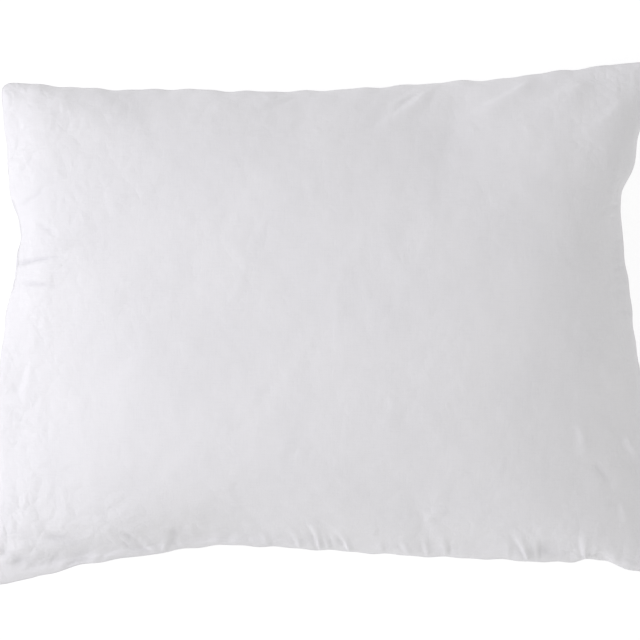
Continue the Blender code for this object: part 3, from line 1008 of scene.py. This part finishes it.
class Nodes:
    """A material's node tree, with short calls to add to it."""

    def __init__(self, name):
        self.material = bpy.data.materials.new(name)
        self.material.use_nodes = True
        self.tree = self.material.node_tree
        self.shader = self.tree.nodes["Principled BSDF"]

    def add(self, kind, inputs=(), **settings):
        node = self.tree.nodes.new(kind)
        for key, value in settings.items():
            setattr(node, key, value)
        for socket, value in dict(inputs).items():
            self.give(node.inputs[socket], value)
        return node

    def give(self, socket, value):
        if isinstance(value, bpy.types.NodeSocket):
            self.tree.links.new(value, socket)
        else:
            socket.default_value = value

    def shade(self, socket, value):
        """Sets one of the shader's sockets, or links it to a node's output."""
        self.give(self.shader.inputs[socket], value)

    def times(self, a, b):
        return self.math("MULTIPLY", a, b)

    def tinted(self, a, b):
        """One colour multiplied by another."""
        mix = self.add("ShaderNodeMix", {"Factor": 1.0}, data_type="RGBA", blend_type="MULTIPLY")
        self.give(mix.inputs["A"], a)
        self.give(mix.inputs["B"], b)
        return mix.outputs["Result"]

    def stored(self, name, output="Fac"):
        """A value that the mesh carries at its points."""
        return self.add("ShaderNodeAttribute", attribute_name=name).outputs[output]

    def math(self, operation, a, b=0.0, c=0.0):
        return self.add("ShaderNodeMath", {0: a, 1: b, 2: c}, operation=operation).outputs[0]

    def noise(self, vector, scale, detail=2.0, rough=0.5):
        inputs = {"Vector": vector, "Scale": scale, "Detail": detail, "Roughness": rough}
        return self.add("ShaderNodeTexNoise", inputs).outputs["Fac"]

    def stretched(self, vector, scale):
        return self.add("ShaderNodeVectorMath", {0: vector, 1: scale}, operation="MULTIPLY").outputs[0]

    def ramp(self, fac, low, high, start=0.3, end=0.7):
        node = self.add("ShaderNodeValToRGB", {"Fac": fac})
        for stop, place, colour in zip(node.color_ramp.elements, (start, end), (low, high)):
            stop.position = place
            stop.color = (*colour, 1)
        return node.outputs["Color"]

    def bump(self, height, distance, strength=1.0, below=None):
        inputs = {"Height": height, "Distance": distance, "Strength": strength}
        if below is not None:
            inputs["Normal"] = below
        return self.add("ShaderNodeBump", inputs).outputs["Normal"]


def weave_height(nodes, place):
    """A plain weave: warp over weft and weft over warp, thread by thread."""
    split = nodes.add("ShaderNodeSeparateXYZ", {"Vector": place})
    turn = math.pi / WEAVE_PITCH
    a = nodes.math("SINE", nodes.times(split.outputs[0], turn))
    b = nodes.math("SINE", nodes.times(split.outputs[1], turn))
    over = nodes.times(a, b)
    round_a = nodes.math("ABSOLUTE", nodes.math("COSINE", nodes.times(split.outputs[0], turn)))
    round_b = nodes.math("ABSOLUTE", nodes.math("COSINE", nodes.times(split.outputs[1], turn)))
    threads = nodes.times(nodes.math("ADD", round_a, round_b), -0.5)
    return nodes.math("ADD", nodes.times(nodes.math("ABSOLUTE", over), 0.6), threads)


def crease_facets(nodes, place, scale):
    """Flat facets that meet in creases, as crushed cloth has: 0 along a crease, up to 0.35 between."""
    bent = nodes.add("ShaderNodeTexNoise", {"Vector": place, "Scale": scale * 0.8, "Detail": 2.0})
    offset = nodes.stretched(bent.outputs["Color"], (0.55 / scale,) * 3)
    moved = nodes.add("ShaderNodeVectorMath", {0: place, 1: offset}, operation="ADD").outputs[0]
    cells = nodes.add("ShaderNodeTexVoronoi", {"Vector": moved, "Scale": scale}, feature="DISTANCE_TO_EDGE")
    return nodes.math("SMOOTH_MIN", cells.outputs["Distance"], 0.35, 0.2)


def cotton(name, colour):
    """White percale: fine plain weave, uneven threads, faint creases, a soft bloom and painted shade in its
    hollows.
    """
    nodes = Nodes(name)
    place = nodes.stored("cloth_place", "Vector")
    warp = nodes.noise(nodes.stretched(place, (1.0, 0.06, 1.0)), 900.0, 2.0)
    weft = nodes.noise(nodes.stretched(place, (0.06, 1.0, 1.0)), 900.0, 2.0)
    threads = nodes.math("ADD", warp, weft)
    cloudy = nodes.noise(place, 9.0, 3.0, 0.55)
    light = tuple(min(1.0, c * 1.012) for c in colour)
    dark = tuple(c * f for c, f in zip(colour, (0.972, 0.974, 0.978)))
    base = nodes.ramp(cloudy, dark, light, 0.30, 0.72)
    slub = nodes.ramp(threads, (0.978, 0.979, 0.981), (1.0, 1.0, 1.0), 0.78, 1.12)
    # Painted shade: the colour is darkened where the cloth lies in a hollow.
    painted_hollow_shade = nodes.ramp(nodes.stored("hollow"), (1.0, 1.0, 1.0), HOLLOW_PAINTED_SHADE, 0.0, 1.0)
    nodes.shade("Base Color", nodes.tinted(nodes.tinted(base, slub), painted_hollow_shade))
    rough = nodes.math("MULTIPLY_ADD", threads, 0.10, 0.72)
    nodes.shade("Roughness", rough)
    nodes.shade("Specular IOR Level", 0.25)
    nodes.shade("Sheen Weight", 0.25)
    nodes.shade("Sheen Roughness", 0.45)
    creases = nodes.noise(place, 55.0, 4.0, 0.62)
    normal = nodes.bump(creases, 0.0012, 0.4)
    patchy = nodes.noise(place, 13.0, 2.0)
    share = nodes.times(nodes.stored("crushed"), nodes.math("MULTIPLY_ADD", patchy, 3.0, -0.8))
    for scale, depth in ((34.0, 0.0034), (71.0, 0.0016)):
        normal = nodes.bump(nodes.times(crease_facets(nodes, place, scale), share), depth, 1.0, normal)
    normal = nodes.bump(threads, 0.00010, 0.6, normal)
    normal = nodes.bump(weave_height(nodes, place), 0.00006, 0.8, normal)
    nodes.shade("Normal", normal)
    return nodes.material


def fibre(name, colour, scale):
    """Crimped polyester fibre: a soft, hairy white."""
    nodes = Nodes(name)
    place = nodes.add("ShaderNodeTexCoord").outputs["Object"]
    tangle = nodes.noise(nodes.stretched(place, (1.0, 1.0, 1.6)), scale, 6.0, 0.68)
    hair = nodes.noise(nodes.stretched(place, (0.25, 1.0, 1.0)), scale * 7, 3.0, 0.6)
    dark = tuple(c * 0.90 for c in colour)
    nodes.shade("Base Color", nodes.ramp(tangle, dark, colour, 0.30, 0.62))
    nodes.shade("Roughness", nodes.math("MULTIPLY_ADD", hair, 0.1, 0.86))
    nodes.shade("Sheen Weight", 0.6)
    nodes.shade("Sheen Roughness", 0.6)
    normal = nodes.bump(tangle, 0.004, 0.8)
    normal = nodes.bump(hair, 0.0006, 0.8, normal)
    nodes.shade("Normal", normal)
    return nodes.material


def spun_thread(name, colour):
    """Two-ply polyester sewing thread."""
    nodes = Nodes(name)
    place = nodes.add("ShaderNodeTexCoord").outputs["Object"]
    split = nodes.add("ShaderNodeSeparateXYZ", {"Vector": place})
    twist = nodes.math("ADD", nodes.math("ADD", split.outputs[0], split.outputs[1]), split.outputs[2])
    ply = nodes.math("SINE", nodes.times(twist, 2 * math.pi / PLY_PITCH))
    fuzz = nodes.noise(place, 1500.0, 2.0)
    dark = tuple(c * 0.86 for c in colour)
    nodes.shade("Base Color", nodes.ramp(nodes.math("MULTIPLY_ADD", ply, 0.3, 0.5), dark, colour))
    nodes.shade("Roughness", nodes.math("MULTIPLY_ADD", fuzz, 0.2, 0.38))
    nodes.shade("Sheen Weight", 0.2)
    nodes.shade("Normal", nodes.bump(ply, 0.00008, 0.7))
    return nodes.material


def satin(name, colour):
    """Woven satin ribbon: long floats along its length and a faint rib across."""
    nodes = Nodes(name)
    place = nodes.stored("cloth_place", "Vector")
    floats = nodes.noise(nodes.stretched(place, (0.05, 1.0, 1.0)), 1400.0, 2.0)
    split = nodes.add("ShaderNodeSeparateXYZ", {"Vector": place})
    rib = nodes.math("SINE", nodes.times(split.outputs[0], 2 * math.pi / RIB_PITCH))
    dark = tuple(c * 0.93 for c in colour)
    nodes.shade("Base Color", nodes.ramp(floats, dark, colour, 0.35, 0.65))
    nodes.shade("Roughness", nodes.math("MULTIPLY_ADD", floats, 0.2, 0.30))
    nodes.shade("Sheen Weight", 0.15)
    normal = nodes.bump(floats, 0.00006, 0.7)
    nodes.shade("Normal", nodes.bump(rib, 0.00005, 0.5, normal))
    return nodes.material


# ---------------------------------------------------------------- studio

def add_floor():
    bpy.ops.mesh.primitive_plane_add(size=30.0, location=(0, 0, -0.0002))
    floor = bpy.context.object
    floor.name = "studio_floor"
    nodes = Nodes("studio_white")
    nodes.shade("Base Color", (0.38, 0.38, 0.38, 1))
    nodes.shade("Roughness", 0.9)
    nodes.shade("Specular IOR Level", 0.1)
    nodes.shade("Emission Color", (1, 1, 1, 1))
    nodes.shade("Emission Strength", 0.70)
    floor.data.materials.append(nodes.material)


def add_light(name, place, aim, size, power, colour=(1, 1, 1)):
    data = bpy.data.lights.new(name, "AREA")
    data.shape = "RECTANGLE"
    data.size, data.size_y = size
    data.energy = power
    data.color = colour
    light = linked(name, data)
    light.location = place
    light.rotation_euler = (Vector(aim) - Vector(place)).to_track_quat("-Z", "Y").to_euler()


def add_studio():
    add_floor()
    add_light("key_left", place=(-2.2, 0.2, 1.3), aim=(0, 0, 0.1), size=(1.6, 2.0), power=27.0,
              colour=(0.995, 0.985, 1.07))
    add_light("overhead", place=(-0.3, -0.75, 2.7), aim=(0, 0, 0), size=(2.4, 2.4), power=12.0)
    world = bpy.data.worlds.new("studio_air")
    world.use_nodes = True
    air = world.node_tree.nodes["Background"].inputs
    air["Color"].default_value = (1.0, 1.0, 0.99, 1)
    air["Strength"].default_value = 0.60
    bpy.context.scene.world = world
    bpy.context.scene.view_settings.view_transform = "Standard"


def add_camera():
    """Straight above the pillow, close enough that its corners pass the frame's sides."""
    data = bpy.data.cameras.new("camera")
    data.sensor_width = 36.0
    data.lens = data.sensor_width * CAMERA_HEIGHT / CAMERA_SEES
    camera = linked("camera", data)
    camera.location = (*CAMERA_PLACE, SEAM_Z + CAMERA_HEIGHT)
    bpy.context.scene.camera = camera


# ---------------------------------------------------------------- assembly

def dress(piece, nodes, body="pillow"):
    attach(piece, body)
    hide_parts(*nodes)
    return piece


def build():
    add_camera()
    up, down = settled(*blown_cover())
    up, down = refined(up), refined(down)
    plain_up, plain_down = up, down
    upper_folds = UPPER_FOLDS + upper_crumples()
    # The panels' hollow shares carry painted shade for the cloth's hollows.
    up, up_detail, up_hollow_shade = folded(refined(up), upper_folds, BANKS, True, SEED)
    lower_folds = folds_round_rim(UNDERSIDE_FOLDS, SEED + 30)
    down, down_detail, down_hollow_shade = folded(refined(down), lower_folds, [], False, SEED + 20)
    up, down = pinched(up, down)

    cloth = cotton("white_percale", (0.823, 0.813, 0.832))
    seam_cloth = cotton("percale_edges", (0.78, 0.77, 0.79))
    core = fibre("loose_fibre", (0.90, 0.90, 0.89), 55.0)
    wrap = fibre("carded_fibre", (0.92, 0.92, 0.91), 90.0)
    thread = spun_thread("white_thread", (0.86, 0.86, 0.86))
    ribbon = satin("label_satin", (0.74, 0.74, 0.73))

    top = add_panel("cover_top", up, up_detail, up_hollow_shade, True, cloth)
    dress(top, ["cover_top_panel"])
    bottom = add_panel("cover_bottom", down, down_detail, down_hollow_shade, False, cloth)
    dress(bottom, ["cover_bottom_panel"])

    u, v = rim_round(RIM_STEPS)
    closing = closing_part(u, v)
    first = int(np.argmax(closing))
    last = len(u) - 1 - int(np.argmax(closing[::-1]))
    rest = np.concatenate([np.arange(last + 1, len(u)), np.arange(0, first)])
    gap = np.arange(first, last + 1)
    for name, part, node in (("seam_edge", rest, "edge_seam"), ("seam_closing", gap, "closing_seam")):
        dress(add_flange(name, up, down, u[part], v[part], seam_cloth), [node])
    overlock = add_overlock("thread_overlock", up, down, u[rest], v[rest], thread)
    dress(overlock, ["edge_thread"])
    dress(add_topstitch("thread_closing", up, down, thread), ["closing_thread"])

    fills = []
    for name, levels, material, node, slot in (
        ("fill_core_fibre", (-0.70, 0.70), core, "fill_core", "fibre_core"),
        ("fill_top_fibre", (0.74, 0.985), wrap, "fill_top_wrap", "fibre_wrap"),
        ("fill_bottom_fibre", (-0.985, -0.74), wrap, "fill_bottom_wrap", "fibre_wrap"),
    ):
        fills.append(dress(add_fill(name, plain_up, plain_down, levels, material), [node]))
    label = add_label("label_ribbon", ribbon)
    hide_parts("care_label")
    return top, bottom, *fills, label


top, bottom, core_piece, top_wrap, low_wrap, label = build()
add_studio()

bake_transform(label)
